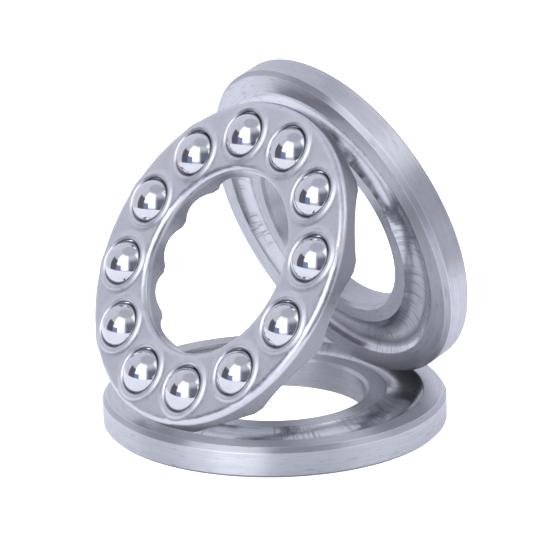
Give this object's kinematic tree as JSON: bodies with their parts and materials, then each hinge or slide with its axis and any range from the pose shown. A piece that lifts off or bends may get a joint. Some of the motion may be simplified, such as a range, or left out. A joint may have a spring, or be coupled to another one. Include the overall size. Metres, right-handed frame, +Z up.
{
  "type": "thrust ball bearing",
  "caption": "Single-direction thrust ball bearing laid apart: a grooved steel washer lying flat, its matching washer leaning, and a pressed cage of polished balls between them.",
  "frame": {"origin": "centre of the flat washer's underside, on its axis", "axes": "+Z up along the flat washer's axis; the caged balls lean over its -X -Y side and the second washer stands in its groove on the +X +Y side"},
  "size_m": [0.0502, 0.0551, 0.0491],
  "materials": {
    "washer_steel": "ground",
    "cage_steel": "satin",
    "ball_steel": "polished"
  },
  "bodies": {
    "shaft_washer": {"shaft_washer": "washer_steel"},
    "housing_washer": {"housing_washer": "washer_steel"},
    "cage": {"cage": "cage_steel"},
    "ball_01": {"ball_01": "ball_steel"},
    "ball_02": {"ball_02": "ball_steel"},
    "ball_03": {"ball_03": "ball_steel"},
    "ball_04": {"ball_04": "ball_steel"},
    "ball_05": {"ball_05": "ball_steel"},
    "ball_06": {"ball_06": "ball_steel"},
    "ball_07": {"ball_07": "ball_steel"},
    "ball_08": {"ball_08": "ball_steel"},
    "ball_09": {"ball_09": "ball_steel"},
    "ball_10": {"ball_10": "ball_steel"},
    "ball_11": {"ball_11": "ball_steel"},
    "ball_12": {"ball_12": "ball_steel"}
  },
  "joints": [
    {"name": "housing_washer_spin", "type": "hinge", "parent": "shaft_washer", "child": "housing_washer", "pos_m": [0.01049, 0.0079, 0.02699], "axis": [0.7447, 0.5839, 0.3233], "continuous": true},
    {"name": "cage_spin", "type": "hinge", "parent": "shaft_washer", "child": "cage", "pos_m": [-0.00793, -0.00956, 0.02568], "axis": [-0.6672, -0.5303, 0.5231], "continuous": true},
    {"name": "ball_01_spin", "type": "hinge", "parent": "cage", "child": "ball_01", "pos_m": [0.00572, -0.0207, 0.02867], "axis": [0.7057, -0.6748, 0.216], "continuous": true},
    {"name": "ball_02_spin", "type": "hinge", "parent": "cage", "child": "ball_02", "pos_m": [0.00616, -0.01453, 0.03549], "axis": [0.7304, -0.3278, 0.5993], "continuous": true},
    {"name": "ball_03_spin", "type": "hinge", "parent": "cage", "child": "ball_03", "pos_m": [0.00312, -0.00679, 0.03946], "axis": [0.5593, 0.1071, 0.822], "continuous": true},
    {"name": "ball_04_spin", "type": "hinge", "parent": "cage", "child": "ball_04", "pos_m": [-0.00259, 0.00044, 0.0395], "axis": [0.2384, 0.5132, 0.8245], "continuous": true},
    {"name": "ball_05_spin", "type": "hinge", "parent": "cage", "child": "ball_05", "pos_m": [-0.00944, 0.00522, 0.03561], "axis": [-0.1464, 0.7819, 0.606], "continuous": true},
    {"name": "ball_06_spin", "type": "hinge", "parent": "cage", "child": "ball_06", "pos_m": [-0.0156, 0.00628, 0.02883], "axis": [-0.4919, 0.841, 0.2252], "continuous": true},
    {"name": "ball_07_spin", "type": "hinge", "parent": "cage", "child": "ball_07", "pos_m": [-0.0194, 0.00332, 0.02098], "axis": [-0.7057, 0.6748, -0.216], "continuous": true},
    {"name": "ball_08_spin", "type": "hinge", "parent": "cage", "child": "ball_08", "pos_m": [-0.01984, -0.00286, 0.01416], "axis": [-0.7304, 0.3278, -0.5993], "continuous": true},
    {"name": "ball_09_spin", "type": "hinge", "parent": "cage", "child": "ball_09", "pos_m": [-0.01679, -0.0106, 0.01019], "axis": [-0.5593, -0.1071, -0.822], "continuous": true},
    {"name": "ball_10_spin", "type": "hinge", "parent": "cage", "child": "ball_10", "pos_m": [-0.01108, -0.01783, 0.01015], "axis": [-0.2384, -0.5132, -0.8245], "continuous": true},
    {"name": "ball_11_spin", "type": "hinge", "parent": "cage", "child": "ball_11", "pos_m": [-0.00423, -0.02261, 0.01404], "axis": [0.1464, -0.7819, -0.606], "continuous": true},
    {"name": "ball_12_spin", "type": "hinge", "parent": "cage", "child": "ball_12", "pos_m": [0.00192, -0.02366, 0.02082], "axis": [0.4919, -0.841, -0.2252], "continuous": true}
  ],
  "couplings": [
    {"joint": "cage_spin", "follows": "housing_washer_spin", "ratio": 0.5},
    {"joint": "ball_01_spin", "follows": "housing_washer_spin", "ratio": -2.6382},
    {"joint": "ball_02_spin", "follows": "housing_washer_spin", "ratio": -2.6382},
    {"joint": "ball_03_spin", "follows": "housing_washer_spin", "ratio": -2.6382},
    {"joint": "ball_04_spin", "follows": "housing_washer_spin", "ratio": -2.6382},
    {"joint": "ball_05_spin", "follows": "housing_washer_spin", "ratio": -2.6382},
    {"joint": "ball_06_spin", "follows": "housing_washer_spin", "ratio": -2.6382},
    {"joint": "ball_07_spin", "follows": "housing_washer_spin", "ratio": -2.6382},
    {"joint": "ball_08_spin", "follows": "housing_washer_spin", "ratio": -2.6382},
    {"joint": "ball_09_spin", "follows": "housing_washer_spin", "ratio": -2.6382},
    {"joint": "ball_10_spin", "follows": "housing_washer_spin", "ratio": -2.6382},
    {"joint": "ball_11_spin", "follows": "housing_washer_spin", "ratio": -2.6382},
    {"joint": "ball_12_spin", "follows": "housing_washer_spin", "ratio": -2.6382}
  ]
}
